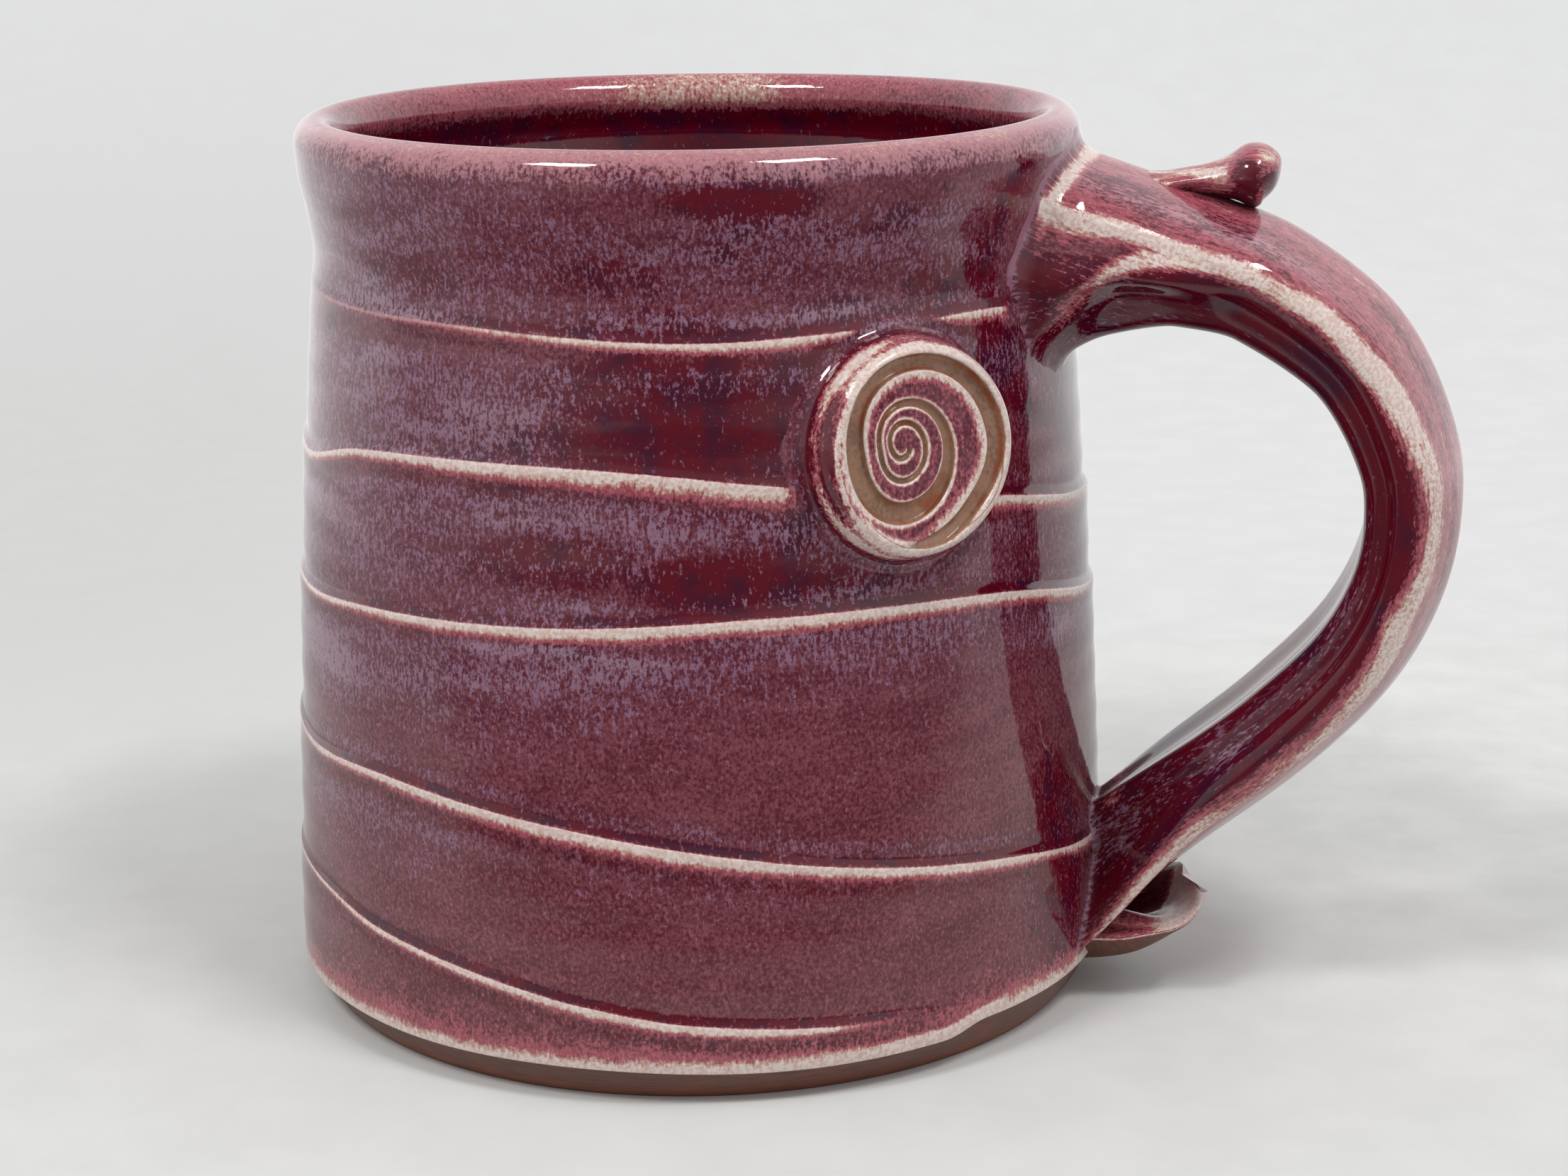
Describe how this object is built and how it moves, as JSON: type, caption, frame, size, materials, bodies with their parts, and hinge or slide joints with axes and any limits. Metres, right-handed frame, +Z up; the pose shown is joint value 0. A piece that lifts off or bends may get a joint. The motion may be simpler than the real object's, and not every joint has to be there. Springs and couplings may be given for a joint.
{
  "type": "pottery mug",
  "caption": "Hand-thrown stoneware mug with a climbing throwing line, a pulled strap handle with a thumb curl, a flicked tail and a round spiral medallion, for hot drinks.",
  "frame": {"origin": "centre of the flat base that the mug stands on", "axes": "+Z up along the mug's axis, +X from the axis towards the handle, +Y to the left when the handle points away from the viewer"},
  "size_m": [0.1389, 0.0982, 0.104],
  "materials": {
    "body_glaze": "glossy opaque plum and lavender glaze that breaks to white and tan on edges, over stoneware",
    "handle_glaze": "glossy opaque plum glaze with lavender in the hollows and white breaks on the edges",
    "tail_clay": "glossy opaque glaze on top, bare brown stoneware underneath",
    "medallion_glaze": "glossy opaque glaze, thin and tan on the raised spiral, brown in its hollows"
  },
  "bodies": {
    "root": {"mug_body": "body_glaze", "handle_strap": "handle_glaze", "thumb_rest_curl": "handle_glaze", "tail_curl": "tail_clay", "spiral_medallion": "medallion_glaze"}
  },
  "joints": []
}
